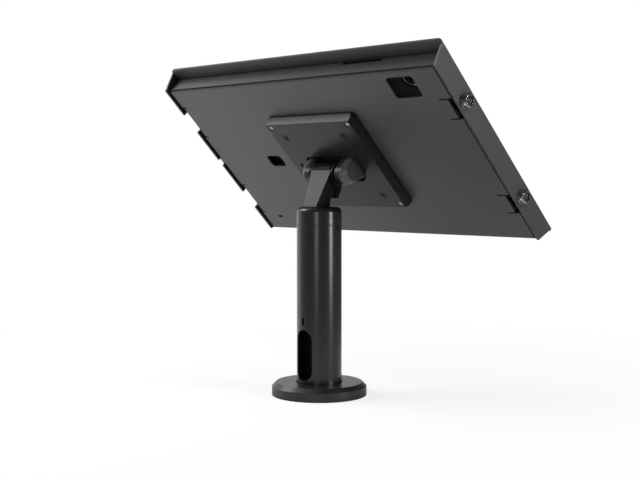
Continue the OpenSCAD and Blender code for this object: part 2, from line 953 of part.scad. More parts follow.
// A block with sloping sides and round corners that stands on z = 0 and rises to -z
module sloped_block(w, h, slope, r) {
    module side() {
        polygon([[-w / 2, 0], [w / 2, 0], [w / 2 - slope, -h], [-w / 2 + slope, -h]]);
    }
    intersection() {
        rotate([90, 0, 0])
            linear_extrude(w, center = true)
                side();
        rotate([90, 0, 90])
            linear_extrude(w, center = true)
                side();
        translate([0, 0, -h - 1])
            linear_extrude(h + 2)
                rounded_rect(w, w, r);
    }
}

// The cut-out in the plate cover that the ears and the barrel stand in
module ear_window() {
    low_r = 12;
    high_r = 4.5;
    half = ear_window_w / 2;
    square_h = ear_window_up + ear_window_down;
    translate([-half + low_r, -ear_window_down])
        square([ear_window_w - 2 * low_r, square_h]);
    translate([-half, -ear_window_down + low_r])
        square([ear_window_w, square_h - low_r - high_r]);
    translate([-half + high_r, 0])
        square([ear_window_w - 2 * high_r, ear_window_up]);
    for (x = [-1, 1]) {
        translate([x * (half - low_r), -ear_window_down + low_r])
            circle(low_r, $fn = 64);
        translate([x * (half - high_r), ear_window_up - high_r])
            circle(high_r, $fn = 48);
    }
}

// The cover over the mounting plate, with bosses for both squares of screws
module plate_cover() {
    face = -plate_cover_h;
    wall_h = plate_cover_h - plate_cover_lift;
    color("#3a3a3b")
    plate_frame()
        difference() {
            union() {
                translate([0, 0, -plate_cover_lift])
                    difference() {
                        sloped_block(plate_cover_w, wall_h, plate_cover_slope, plate_cover_round);
                        translate([0, 0, 1])
                            sloped_block(plate_cover_w - 2 * plate_cover_wall, wall_h + 1 - plate_cover_wall,
                                         plate_cover_slope, plate_cover_round - 1);
                    }
                intersection() {
                    union() {
                        at_corners(vesa, vesa)
                            translate([0, 0, face + 0.5])
                                cylinder(r = boss_r, h = plate_cover_h - plate_t - 0.5 - 0.1);
                        at_corners(vesa_inner, vesa_inner)
                            translate([0, 0, face + 0.5])
                                cylinder(r = boss_r + 1, h = plate_cover_h - plate_t - 0.5 - 0.1);
                    }
                    sloped_block(plate_cover_w, plate_cover_h, plate_cover_slope, plate_cover_round);
                }
            }
            translate([0, 0, face - 1])
                linear_extrude(plate_cover_h + 2)
                    ear_window();
            at_corners(vesa, vesa) {
                translate([0, 0, face - 1])
                    cylinder(r = corner_screw_r + near, h = plate_cover_h + 2);
                translate([0, 0, face - 1])
                    cylinder(r = corner_head_r + near, h = 3);
            }
            at_corners(vesa_inner, vesa_inner) {
                translate([0, 0, face - 1])
                    cylinder(r = head_screw_r + fit, h = plate_cover_h + 2);
                translate([0, 0, face - 1])
                    cylinder(r = inner_recess_r, h = 4);
            }
            translate([ear_window_w / 2 + 11.5, 0, face - 1])
                linear_extrude(plate_cover_wall + 2)
                    rounded_rect(2.8, 7.5, 1.2);
        }
}

// The four bright corner screws, through the cover, the plate and the tray
module corner_screws() {
    head_h = 1.9;
    top = -plate_cover_h - 0.1;
    color("#e8e8e8")
    plate_frame()
        at_corners(vesa, vesa)
            difference() {
                union() {
                    translate([0, 0, top])
                        cylinder(r = corner_head_r, h = head_h);
                    translate([0, 0, top])
                        cylinder(r = corner_screw_r, h = -top + tray_t + 3.5);
                }
                translate([0, 0, top - 1])
                    cylinder(r = 1.2, h = 2.1, $fn = 6);
            }
}

// The four black screws that hold the cover to the plate, sunk a little into their recesses
module cover_screws() {
    top = -plate_cover_h + 0.6;
    color("#1a1a1a")
    plate_frame()
        at_corners(vesa_inner, vesa_inner)
            difference() {
                union() {
                    translate([0, 0, top])
                        cylinder(r = inner_head_r, h = 2.3);
                    translate([0, 0, top])
                        cylinder(r = head_screw_r, h = -top - 0.2);
                }
                translate([0, 0, top - 1])
                    cylinder(r = 1.4, h = 2, $fn = 6);
            }
}

// The press nuts inside the tray for the corner screws
module press_nuts() {
    color("#9a9c9f")
    plate_frame()
        at_corners(vesa, vesa)
            translate([0, 0, tray_t])
                difference() {
                    cylinder(r = 4.5, h = 4);
                    translate([0, 0, -1])
                        cylinder(r = corner_screw_r + fit, h = 6);
                }
}

// One lock opening in the tray's right edge, with a slit at each end
module lock_bay(side) {
    middle = side * lock_y + tray_y;
    translate([-tray_w / 2 - 1, middle - bay_h / 2, -1])
        cube([bay_w + 1, bay_h, tray_depth + 2]);
    for (end = [-1, 1])
        translate([-tab_x - eps, middle + end * (bay_h - slit_w) / 2 - slit_w / 2, -1])
            cube([slit_l, slit_w, tray_t + 2]);
}

// The tab folded in beside a lock opening, with the shelf that the cam turns under
module lock_tab(side) {
    tab_h = bay_h - 2 * slit_w - 0.4;
    shelf_z = lock_z + cam_w / 2 + 0.5;
    low = side * lock_y + tray_y - tab_h / 2;
    shelf_l = side * lock_y - lock_body_d / 2 - near - low;
    shelf_w = wall_x - lock_nut_t - 1.2 - tab_x;
    translate([-tab_x, low, 0])
        cube([tray_t, tab_h, tray_depth]);
    translate([-tab_x - shelf_w, low, shelf_z])
        cube([shelf_w + tray_t, shelf_l, min(tray_t, tray_depth - shelf_z)]);
}

// One opening for a hinge tongue in the tray's left edge, with a slit at each end
module tongue_bay(side) {
    translate([tongue_tab_x, side * lock_y - tongue_bay_l / 2, -1])
        cube([tongue_bay_w + 1, tongue_bay_l, tray_depth + 2]);
    for (end = [-1, 1])
        translate([tongue_tab_x - tongue_slit_l,
                   side * lock_y + end * (tongue_bay_l - slit_w) / 2 - slit_w / 2, -1])
            cube([tongue_slit_l + 1, slit_w, tray_t + 2]);
}

// The tab folded in at a hinge opening, with the slot that the tongue hooks into
module tongue_tab(side) {
    tab_l = tongue_bay_l - 2 * slit_w - 0.4;
    slot_l = tongue_l + 1;
    translate([tongue_tab_x - tray_t, side * lock_y - tab_l / 2, 0])
        difference() {
            cube([tray_t, tab_l, tray_depth]);
            translate([-1, (tab_l - slot_l) / 2, notch_d - near])
                cube([tray_t + 2, slot_l, tongue_slot_z - notch_d + near]);
        }
}

// The rear tray: one folded sheet with its openings, lock tabs and the folded walls
module rear_tray() {
    color("#3c3c3d")
    plate_frame() {
        difference() {
            translate([0, tray_y, 0])
                folded_block(tray_w, tray_h, tray_depth, tray_fold);
            translate([0, tray_y, tray_t])
                folded_block(tray_w - 2 * tray_t, tray_h - 2 * tray_t, tray_depth,
                             max(tray_fold - tray_t, 0.3));
            for (side = [-1, 1]) {
                lock_bay(side);
                tongue_bay(side);
            }
            at_corners(vesa, vesa)
                translate([0, 0, -1])
                    cylinder(r = head_screw_r + 0.3, h = tray_t + 2);
            translate([camera_x, camera_y, -1])
                linear_extrude(tray_t + 2)
                    rounded_rect(camera_w, camera_h, 3.5);
            translate([cable_x, -0.8, -1])
                linear_extrude(tray_t + 2)
                    rounded_rect(cable_w, cable_h, 4.5);
            translate([tray_w / 2 - 26.5, tray_y - tray_h / 2 + 19.8, -1])
                linear_extrude(tray_t + 2)
                    rounded_rect(7, 2.8, 1.2);
            rim_slot();
            corner_reliefs();
        }
        for (side = [-1, 1]) {
            lock_tab(side);
            tongue_tab(side);
        }
    }
}

// The long slot in the tray's upper rim, with one slanting end
module rim_slot() {
    translate([-rim_slot_x, tray_y + tray_h / 2 - tray_t / 2, tray_depth])
        rotate([90, 0, 0])
            linear_extrude(2 * tray_t, center = true)
                polygon([
                    [-rim_slot_l / 2, 1],
                    [-rim_slot_l / 2 + rim_slot_d, -rim_slot_d],
                    [rim_slot_l / 2, -rim_slot_d],
                    [rim_slot_l / 2, 1]
                ]);
}

// The small cuts where the folded walls meet at the tray's corners
module corner_reliefs() {
    translate([0, tray_y, tray_depth / 2 + tray_fold + 1])
        at_corners(tray_w, tray_h)
            cube([1.2, 1.2, tray_depth], center = true);
}

// The foam liner: a tray for the tablet, with its sight hole, its covered cable groove that
// comes out beside the tablet, and room for the press nuts
module foam_liner() {
    w = 2 * (tab_x - 2.5);
    h = tray_h - 2 * tray_t - 2 * liner_gap;
    pocket_w = window_w + 2 * pocket_side;
    pocket_h = min(window_h + 2 * pocket_rise, h - 2 * abs(tray_y) - 4);
    groove_w = cable_h - 2;
    groove_x = cable_x - cable_w / 2 + 1;
    groove_end = pocket_w / 2 + 6;
    roof_t = 2;
    color("#0c0c0c")
    plate_frame()
        difference() {
            translate([0, tray_y, liner_z])
                linear_extrude(liner_t + pocket_d)
                    rounded_rect(w, h, 6);
            translate([0, 0, liner_top])
                linear_extrude(pocket_d + 1)
                    rounded_rect(pocket_w, pocket_h, pocket_round);
            at_corners(vesa, vesa)
                cylinder(r = 5.5, h = liner_z + 5);
            translate([sight_x, sight_y, 0])
                cylinder(r = sight_r, h = liner_top + pocket_d + 1);
            translate([sight_x, sight_y, 0])
                cylinder(r = sight_ring_r + near, h = liner_z + sight_recess);
            translate([groove_x, -0.8 - groove_w / 2, 0])
                cube([groove_end - groove_x, groove_w, liner_top - roof_t]);
            translate([pocket_w / 2 - 2, -0.8 - groove_w / 2, 0])
                cube([groove_end - pocket_w / 2 + 2, groove_w, liner_top + pocket_d + 1]);
        }
}

// The pressed ring let into the back of the foam round the sight hole
module camera_ring() {
    ring_t = 1.2;
    color("#b9babc")
    plate_frame()
        translate([sight_x, sight_y, liner_z + sight_recess - near / 2 - ring_t])
            difference() {
                cylinder(r = sight_ring_r, h = ring_t);
                translate([0, 0, -1])
                    cylinder(r = sight_ring_r - 1.2, h = ring_t + 2);
            }
}

// Side view of the front cover: the sheet, and the side walls' slanting ends
module cover_side_view() {
    half = cover_h / 2;
    polygon([
        [-half + gusset, -wall_proud],
        [half - gusset, -wall_proud],
        [half - gusset / 3, cover_back],
        [half, cover_back],
        [half, case_depth],
        [-half, case_depth],
        [-half, cover_back],
        [-half + gusset / 3, cover_back]
    ]);
}

// Cross-section of the front cover: a sheet with both sides folded back
module cover_section() {
    translate([0, case_depth])
        mirror([0, 1])
            difference() {
                fold_profile(cover_w, case_depth + wall_proud, cover_fold);
                translate([0, cover_t])
                    fold_profile(2 * wall_x, case_depth + wall_proud, max(cover_fold - cover_t, 0.3));
            }
}

// The front cover: the folded sheet with its display window, its notches and its hinge tongues
module front_cover() {
    color("#39393a")
    plate_frame() {
        difference() {
            intersection() {
                rotate([90, 0, 0])
                    linear_extrude(cover_h, center = true)
                        cover_section();
                translate([0, 0, -wall_proud])
                    linear_extrude(case_depth + wall_proud)
                        rounded_rect(cover_w, cover_h, cover_round);
                across(cover_w)
                    cover_side_view();
            }
            linear_extrude(case_depth + 1)
                rounded_rect(window_w, window_h, window_round);
            translate([0, (tray_y + tray_h / 2 + window_h / 2) / 2, 0])
                cylinder(r = front_camera_d / 2, h = case_depth + 1);
            for (side = [-1, 1]) {
                translate([wall_x - 1, side * lock_y - tongue_l / 2, -wall_proud - 1])
                    cube([cover_t + 2, tongue_l, notch_d + wall_proud + 1]);
                translate([-cover_w / 2 - 1, side * lock_y, lock_z])
                    rotate([0, 90, 0])
                        cylinder(r = lock_body_d / 2 + 0.1, h = cover_t + 2);
            }
            translate([wall_x - 1, -4, -wall_proud - 1])
                cube([cover_t + 2, 8, wall_proud + 2.5]);
        }
        for (side = [-1, 1])
            translate([tongue_tip_x, side * lock_y - tongue_l / 2, notch_d])
                cube([tongue_reach + cover_t / 2, tongue_l, tongue_t]);
    }
}

// The foam strip glued behind the display window, clear of the tray's walls
module window_gasket() {
    inner_w = window_w + 2;
    inner_h = window_h + 2;
    room_h = 2 * (tray_h / 2 - abs(tray_y) - tray_t - near);
    color("#0c0c0c")
    plate_frame()
        translate([0, 0, cover_back - gasket_t])
            linear_extrude(gasket_t - near / 2)
                difference() {
                    rounded_rect(inner_w + 2 * gasket_w, min(inner_h + 2 * gasket_w, room_h), window_round + 3);
                    rounded_rect(inner_w, inner_h, window_round);
                }
}

// The body of a tube-key lock: head, shoulder and threaded stem, bored for the plug
module lock_body(side) {
    color("#c9cacc")
    lock_frame(side)
        difference() {
            union() {
                rotate_extrude()
                    polygon([
                        [0, 0],
                        [lock_head_d / 2 + 0.4, 0],
                        [lock_head_d / 2 + 0.4, 0.5],
                        [lock_head_d / 2, 0.9],
                        [lock_head_d / 2, lock_head_h - 0.8],
                        [lock_head_d / 2 - 0.8, lock_head_h],
                        [0, lock_head_h]
                    ]);
                translate([0, 0, -lock_body_l])
                    cylinder(r = lock_body_d / 2, h = lock_body_l + 1);
            }
            translate([0, 0, -big])
                cylinder(r = key_d / 2 + fit, h = 2 * big);
            translate([key_d / 2 - 0.3, -0.7, 1])
                cube([1.2, 1.4, lock_head_h]);
        }
}

// The nut that clamps a lock into the wall
module lock_nut(side) {
    color("#d6d7d8")
    lock_frame(side)
        translate([0, 0, -cover_t - lock_nut_t])
            difference() {
                rotate([0, 0, 30])
                    cylinder(r = lock_nut_w / 2 / cos(30), h = lock_nut_t, $fn = 6);
                translate([0, 0, -1])
                    cylinder(r = lock_body_d / 2 + fit, h = lock_nut_t + 2);
            }
}

// The turning plug: a pin in a ring-shaped keyway, a square tail and a riveted end
module lock_plug(side) {
    color("#aeb0b3")
    lock_frame(side) {
        difference() {
            union() {
                translate([0, 0, -cam_z])
                    cylinder(r = key_d / 2, h = cam_z + 1);
                cylinder(r = key_d / 2 - 1.3, h = lock_head_h - 0.3);
            }
            translate([0, 0, lock_head_h - 2])
                cylinder(r = 0.8, h = 3, $fn = 24);
        }
        translate([-2.2, -2.2, -cam_z - cam_t - 0.1])
            cube([4.4, 4.4, cam_t + 0.2]);
        translate([0, 0, -cam_z - cam_t - 1])
            cylinder(r = 3.6, h = 0.9);
    }
}

// The cam on a plug's tail. It points to the back while the lock is open.
module lock_cam(side) {
    color("#d6d7d8")
    lock_frame(side)
        translate([0, 0, -cam_z - cam_t])
            linear_extrude(cam_t)
                difference() {
                    union() {
                        circle(cam_w / 2, $fn = 48);
                        translate([-cam_l, -cam_w / 2])
                            square([cam_l, cam_w]);
                    }
                    square([4.5, 4.5], center = true);
                }
}

module upper_lock_body() {
    lock_body(1);
}

module upper_lock_nut() {
    lock_nut(1);
}

module upper_lock_plug() {
    lock_plug(1);
}

module upper_lock_cam() {
    lock_cam(1);
}

module lower_lock_body() {
    lock_body(-1);
}

module lower_lock_nut() {
    lock_nut(-1);
}

module lower_lock_plug() {
    lock_plug(-1);
}

module lower_lock_cam() {
    lock_cam(-1);
}

base_disc();
base_pad();
foot_screws();
pole_tube();
swivel_bush();
head_collar();
swivel_washer();
swivel_nut();
neck_bolt();
neck_arm();
neck_back_cover();
neck_fairing();
friction_discs();
spring_washers();
tilt_bracket();
left_ear_cap();
right_ear_cap();
tilt_axle();
axle_nut();
bracket_screws();
mounting_plate();
plate_cover();
corner_screws();
cover_screws();
press_nuts();
rear_tray();
foam_liner();
camera_ring();
front_cover();
window_gasket();
upper_lock_body();
upper_lock_nut();
upper_lock_plug();
upper_lock_cam();
lower_lock_body();
lower_lock_nut();
lower_lock_plug();
lower_lock_cam();
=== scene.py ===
# %% [markdown]
# # A lockable tablet enclosure on a counter pole
# The imported model already has every piece in its place. This lesson gives each piece the shape and the
# finish that a hand would notice: broken edges on bent sheet, powder coat on steel, grain on mouldings,
# plated locks. It starts with the imported model.

# %% Load the imported model
import json
import math

import bmesh
import bpy
import numpy as np
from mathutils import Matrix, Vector

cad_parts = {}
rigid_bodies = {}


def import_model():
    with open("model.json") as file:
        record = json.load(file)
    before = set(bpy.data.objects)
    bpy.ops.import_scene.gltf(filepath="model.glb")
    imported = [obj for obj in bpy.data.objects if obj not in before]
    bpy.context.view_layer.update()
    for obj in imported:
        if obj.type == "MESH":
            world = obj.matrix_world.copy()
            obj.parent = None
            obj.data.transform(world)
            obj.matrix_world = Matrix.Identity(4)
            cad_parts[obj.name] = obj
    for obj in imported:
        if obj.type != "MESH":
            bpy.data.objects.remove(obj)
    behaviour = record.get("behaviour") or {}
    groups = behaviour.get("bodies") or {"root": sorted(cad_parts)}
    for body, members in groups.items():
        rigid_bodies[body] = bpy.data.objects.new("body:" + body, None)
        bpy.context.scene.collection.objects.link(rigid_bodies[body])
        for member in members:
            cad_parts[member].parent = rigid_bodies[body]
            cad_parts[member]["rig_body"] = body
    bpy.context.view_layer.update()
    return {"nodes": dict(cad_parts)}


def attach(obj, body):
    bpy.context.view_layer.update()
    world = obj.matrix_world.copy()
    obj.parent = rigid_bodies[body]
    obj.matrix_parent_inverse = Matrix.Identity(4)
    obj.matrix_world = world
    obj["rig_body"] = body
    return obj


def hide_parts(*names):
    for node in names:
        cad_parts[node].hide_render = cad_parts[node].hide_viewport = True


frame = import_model()
nodes = frame["nodes"]
print("pieces in the packed model:", len(nodes))

# %% [markdown]
# ## The camera
# It stands behind the enclosure on the locks' side, a little below the middle of the back panel, and looks
# three degrees down. The lens is fairly long, so the pole's sides stay nearly parallel.

# %% Camera
CAMERA_PLACE = (-0.7463, 0.72518, 0.19799)
CAMERA_LOOK = (0.7157, -0.6964, -0.0523)
camera_data = bpy.data.cameras.new("camera")
camera_data.lens = 63.385
camera_data.sensor_width = 36
camera_data.clip_start = 0.01
camera = bpy.data.objects.new("camera", camera_data)
camera.location = CAMERA_PLACE
camera.rotation_mode = "QUATERNION"
camera.rotation_quaternion = Vector(CAMERA_LOOK).to_track_quat("-Z", "Y")
bpy.context.scene.collection.objects.link(camera)
bpy.context.scene.camera = camera
bpy.context.scene.view_settings.view_transform = "Standard"
print("camera at", tuple(round(v, 3) for v in camera.location))

# %% [markdown]
# ## The sloping panel
# The enclosure leans back by 45 degrees. Its pieces are easier to place, and its patterns easier to draw, in
# the panel's own directions: across it, up its slope and out of its back face. One function turns
# millimetres on the panel into metres in the room, and another gives a material the same three lengths.

# %% The panel's own directions
SLOPE = math.sqrt(0.5)
PANEL_ORIGIN = np.array([0.0, -0.0128 - 0.02 * SLOPE, 0.2042 + 0.02 * SLOPE])
ACROSS = np.array([1.0, 0.0, 0.0])
UP = np.array([0.0, SLOPE, SLOPE])
OUT = np.array([0.0, SLOPE, -SLOPE])


def on_panel(across, up, out):
    """A point on the back panel: origin + across + up + out, each along its own direction, from mm to m."""
    return PANEL_ORIGIN + (ACROSS * across + UP * up + OUT * out) / 1000


print("panel origin:", PANEL_ORIGIN.round(4))

# %% [markdown]
# ## Materials
# A colour is written as a hex value, as a paint chart gives it, and one function turns it to the linear
# values that the shader works with. A second small function adds a node with its settings and its links.

# %% Helpers for materials
def linear(hex_value):
    """sRGB hex to linear RGBA: a value under 0.04045 is divided by 12.92, the rest follows a power of 2.4."""
    channels = [int(hex_value[i:i + 2], 16) / 255 for i in (1, 3, 5)]
    return [c / 12.92 if c <= 0.04045 else ((c + 0.055) / 1.055) ** 2.4 for c in channels] + [1.0]


def add(tree, kind, inputs=None, **settings):
    """Adds a node to a tree. Inputs are values or other nodes' sockets, by name or number."""
    node = tree.nodes.new("ShaderNode" + kind)
    for name, value in settings.items():
        setattr(node, name, value)
    for name, value in (inputs or {}).items():
        if isinstance(value, bpy.types.NodeSocket):
            tree.links.new(value, node.inputs[name])
        else:
            node.inputs[name].default_value = value
    return node


def new_material(name):
    """An empty material with its output node."""
    material = bpy.data.materials.new(name)
    material.use_nodes = True
    material.node_tree.nodes.clear()
    return material, material.node_tree, material.node_tree.nodes.new("ShaderNodeOutputMaterial")


print("helpers ready")

# %% [markdown]
# ### Broken edges, painted shade in gaps and uneven colour
# A bent sheet, a casting or a moulding never has a knife edge: its corners are a few tenths of a millimetre
# round and catch a thin line of light. The shader's Bevel node rounds the normal near an edge. The angle
# between that normal and the surface's own says how near an edge is, which serves for wear as well. In a
# narrow gap, shade is painted into the colour: it is darker where little of the open room can be seen from
# a point. Paint and plastic are never one even colour either: theirs drifts by a few percent from place to
# place.

# %% Broken edges, painted shade in gaps and uneven colour
# In mm: how near the surroundings of a narrow gap are, where shade is painted into the colour
GAP_SHADE_REACH = 4


def broken_edges(tree, radius_mm):
    """The normal rounded over a radius, and a factor that is 1 on the edge and 0 on the flat."""
    soft = add(tree, "Bevel", {"Radius": radius_mm / 1000}, samples=4).outputs[0]
    own = add(tree, "NewGeometry").outputs["Normal"]
    along = add(tree, "VectorMath", {0: soft, 1: own}, operation="DOT_PRODUCT").outputs["Value"]
    edge = add(tree, "MapRange", {"Value": along, "From Min": 0.98, "From Max": 0.8}).outputs[0]
    return soft, edge


def painted_gap_shade(tree, colour, reach_mm):
    """Painted shade: a colour that falls to a tenth of itself where surroundings within a reach close a point
    in.
    """
    room = add(tree, "AmbientOcclusion", {"Distance": reach_mm / 1000}, samples=6).outputs["AO"]
    share = add(tree, "MapRange", {"Value": room, "From Min": 0.35, "From Max": 0.9, "To Min": 0.1,
                                   "To Max": 1.0}).outputs[0]
    return add(tree, "Mix", {"Factor": 1.0, "A": colour, "B": share}, data_type="RGBA",
               blend_type="MULTIPLY").outputs["Result"]


def mottled(tree, place, hex_value, scale):
    """A colour times a noise of so many waves in a metre, which runs from 0.92 to 1.08."""
    noise = add(tree, "TexNoise", {"Vector": place, "Scale": scale, "Detail": 3.0})
    tint = add(tree, "MapRange", {"Value": noise.outputs[0], "From Min": 0.3, "From Max": 0.7,
                                  "To Min": 0.92, "To Max": 1.08}).outputs[0]
    return add(tree, "Mix", {"Factor": 1.0, "A": linear(hex_value), "B": tint}, data_type="RGBA",
               blend_type="MULTIPLY").outputs["Result"]


def panel_lengths(tree):
    """Across, up and out on the panel in mm: the point's offset from the origin, times each direction."""
    place = add(tree, "TexCoord").outputs["Object"]
    offset = add(tree, "VectorMath", {0: place, 1: tuple(PANEL_ORIGIN)}, operation="SUBTRACT").outputs[0]
    lengths = [add(tree, "VectorMath", {0: offset, 1: tuple(way * 1000)}, operation="DOT_PRODUCT")
               for way in (ACROSS, UP, OUT)]
    return [length.outputs["Value"] for length in lengths]


print("broken_edges(), painted_gap_shade(), mottled() and panel_lengths() ready")

# %% [markdown]
# ### Powder coat
# Powder is sprayed on dry and melted in an oven. It levels into a skin with a fine, low orange peel: about
# one bump each millimetre and a half, under a hundredth of a millimetre high. Bumps in the mesh would take
# millions of faces, so two noise patterns tilt the shading instead. The gloss is low to medium, and the
# coat is a little thinner and greyer where a corner has been rubbed. Beside the tray's folds, where the
# cover's wall stands close, shade is painted in: the coat is near black and dull there, which draws the
# seam as a hairline of painted shade.

# %% Powder coat
# In mm on the panel: the fold on the locks' side, the top fold, and the painted shade line's depth and half
# width
LOCK_FOLD = -170.5
TOP_FOLD = 95.75
LINE_DEPTH = 1.6
LINE_HALF = 0.85
# The colours of rubbed corners, of the painted shade on faces that look along X, and of the painted shade
# beside the folds
RUBBED = "#5a5a5c"
SIDE_SHADE = "#0e0e0f"
SEAM_SHADE = "#020202"


def painted_seam_shade(tree):
    """1 where shade is painted into the tray's coat beside its folds, else 0. One place lies past LOCK_FOLD
    across.
    The other is a line past TOP_FOLD up, LINE_DEPTH inside the back face and LINE_HALF to each side, in mm."""
    across, up, out_of = panel_lengths(tree)
    at_side = add(tree, "MapRange", {"Value": across, "From Min": LOCK_FOLD + 0.1,
                                     "From Max": LOCK_FOLD - 0.1}).outputs[0]
    depth = add(tree, "Math", {0: out_of, 1: LINE_DEPTH}, operation="ADD").outputs[0]
    off_line = add(tree, "Math", {0: depth}, operation="ABSOLUTE").outputs[0]
    on_line = add(tree, "MapRange", {"Value": off_line, "From Min": LINE_HALF + 0.15,
                                     "From Max": LINE_HALF - 0.15}).outputs[0]
    high = add(tree, "MapRange", {"Value": up, "From Min": TOP_FOLD - 0.25,
                                  "From Max": TOP_FOLD + 0.25}).outputs[0]
    at_top = add(tree, "Math", {0: on_line, 1: high}, operation="MULTIPLY").outputs[0]
    return add(tree, "Math", {0: at_side, 1: at_top}, operation="MAXIMUM").outputs[0]


def powder_coat(name, hex_value, roughness, peel_mm, height, edge_mm, gap_shade_mm=GAP_SHADE_REACH, painted_seams=False,
                level=0.5, sides=False):
    """Satin powder coat: a wide orange peel and a finer grit, in object coordinates, on a dielectric.
    The gap reach sets how far the painted shade in narrow gaps goes, the seam switch adds painted shade
    beside the tray's folds, level is the strength of the reflection, and the sides switch paints shade,
    near black, on the faces that look along X."""
    material, tree, out = new_material(name)
    place = add(tree, "TexCoord").outputs["Object"]
    soft, edge = broken_edges(tree, edge_mm)
    peel = add(tree, "TexNoise", {"Vector": place, "Scale": 1000 / peel_mm, "Detail": 2.0, "Roughness": 0.5})
    grit = add(tree, "TexNoise", {"Vector": place, "Scale": 1000 / (peel_mm * 0.28), "Detail": 1.0})
    colour = mottled(tree, place, hex_value, 9.0)
    rubbed = add(tree, "Math", {0: edge, 1: 0.5}, operation="MULTIPLY")
    worn = add(tree, "Mix", {"Factor": rubbed.outputs[0], "A": colour, "B": linear(RUBBED)},
               data_type="RGBA")
    gloss = add(tree, "MapRange", {"Value": grit.outputs[0], "From Min": 0.3, "From Max": 0.7,
                                   "To Min": roughness - 0.03, "To Max": roughness + 0.03})
    fine = add(tree, "Bump", {"Height": grit.outputs[0], "Strength": 0.25, "Distance": height * 0.3,
                              "Normal": soft})
    bump = add(tree, "Bump", {"Height": peel.outputs[0], "Strength": 0.35, "Distance": height,
                              "Normal": fine.outputs[0]})
    # Painted shade: the colour darkens in narrow gaps
    final_colour = painted_gap_shade(tree, worn.outputs["Result"], gap_shade_mm)
    final_gloss = gloss.outputs[0]
    # Painted shade: the faces that look along X are darkened to near black
    if sides:
        facing = add(tree, "SeparateXYZ", {0: add(tree, "TexCoord").outputs["Normal"]}).outputs["X"]
        sideways = add(tree, "Math", {0: facing}, operation="ABSOLUTE").outputs[0]
        side_shade_factor = add(tree, "MapRange", {"Value": sideways, "From Min": 0.6, "From Max": 0.8}).outputs[0]
        final_colour = add(tree, "Mix", {"Factor": side_shade_factor, "A": final_colour, "B": linear(SIDE_SHADE)},
                           data_type="RGBA").outputs["Result"]
    # Painted shade: near black and dull beside the tray's folds, drawn as the seams' hairlines
    if painted_seams:
        dark = painted_seam_shade(tree)
        final_colour = add(tree, "Mix", {"Factor": dark, "A": final_colour, "B": linear(SEAM_SHADE)},
                           data_type="RGBA").outputs["Result"]
        final_gloss = add(tree, "Mix", {"Factor": dark, "A": final_gloss, "B": 0.95},
                          data_type="FLOAT").outputs["Result"]
    shader = add(tree, "BsdfPrincipled", {"Base Color": final_colour, "Roughness": final_gloss, "IOR": 1.5,
                                          "Specular IOR Level": level, "Normal": bump.outputs[0]})
    tree.links.new(shader.outputs[0], out.inputs["Surface"])
    return material


SATIN_BLACK = "#37373a"
enclosure_coat = powder_coat("satin_black_powder_coat_on_steel_sheet", SATIN_BLACK, 0.38, 1.5, 0.00002, 0.35,
                             gap_shade_mm=9)
tray_coat = powder_coat("satin_black_powder_coat_on_folded_tray", SATIN_BLACK, 0.38, 1.5, 0.00002, 0.35,
                        gap_shade_mm=1.6, painted_seams=True)
pole_coat = powder_coat("satin_black_powder_coat_on_steel_tube", "#222224", 0.25, 1.5, 0.00001, 0.35)
base_coat = powder_coat("satin_black_powder_coat_on_turned_steel", "#1c1c1e", 0.36, 1.5, 0.00001, 0.4)
print("powder coats ready")

# %% [markdown]
# ### Painted castings
# The leaning arm, its cover, its fairing and the bracket are cast in zinc and painted. Paint on a casting is
# thinner than powder and shows a little of the casting's skin, so the bumps are closer together, and the
# same function draws them. The arm is matte and nearly black. The cover's leaning face has a satin grey,
# and its cheeks, which face sideways, get painted shade: a black close to the arm's.

# %% Painted castings
arm_paint = powder_coat("matte_black_paint_on_cast_zinc", "#0b0b0c", 0.5, 1.1, 0.00002, 0.4, level=0.15)
# The cover's sideways cheeks get painted shade, near black
cover_paint = powder_coat("satin_black_paint_on_cast_zinc", "#2c2c2e", 0.38, 1.1, 0.00001, 0.4, level=0.25,
                          sides=True)
bracket_paint = powder_coat("black_paint_on_cast_zinc_bracket", "#161618", 0.4, 1.1, 0.00002, 0.4)
print("paints ready")

# %% [markdown]
# ### Mouldings
# The plate cover, the ear caps, the nylon pieces and the rubber pad are moulded in a tool with a
# spark-eroded face. That gives a fine even grain, which a Voronoi pattern draws well, because each of its
# cells can stand for one crater. The flats shine a little. Along the edges the gloss is rougher, and shade
# is painted into the colour there, so the edges read as thin dark outlines.

# %% Moulded plastics
# The near black painted along the edges as shade
EDGE_SHADE = "#030303"


def moulding(name, hex_value, roughness, grain_mm, height, edge_mm, level=0.5):
    """Moulded plastic with an even spark-eroded grain, rougher along its edges, with shade painted near black
    there. level is the strength of the reflection."""
    material, tree, out = new_material(name)
    place = add(tree, "TexCoord").outputs["Object"]
    soft, edge = broken_edges(tree, edge_mm)
    grain = add(tree, "TexVoronoi", {"Vector": place, "Scale": 1000 / grain_mm})
    colour = mottled(tree, place, hex_value, 40.0)
    dull = add(tree, "Math", {0: edge, 1: 0.5}, operation="MULTIPLY")
    gloss = add(tree, "Math", {0: roughness, 1: dull.outputs[0]}, operation="ADD")
    bump = add(tree, "Bump", {"Height": grain.outputs["Distance"], "Strength": 0.3, "Distance": height,
                              "Normal": soft})
    # Painted shade in narrow gaps, then painted shade along the edges
    with_gap_shade = painted_gap_shade(tree, colour, GAP_SHADE_REACH)
    with_edge_shade = add(tree, "Mix", {"Factor": edge, "A": with_gap_shade, "B": linear(EDGE_SHADE)}, data_type="RGBA")
    shader = add(tree, "BsdfPrincipled", {"Base Color": with_edge_shade.outputs["Result"], "Roughness": gloss.outputs[0],
                                          "IOR": 1.5, "Specular IOR Level": level,
                                          "Normal": bump.outputs[0]})
    tree.links.new(shader.outputs[0], out.inputs["Surface"])
    return material


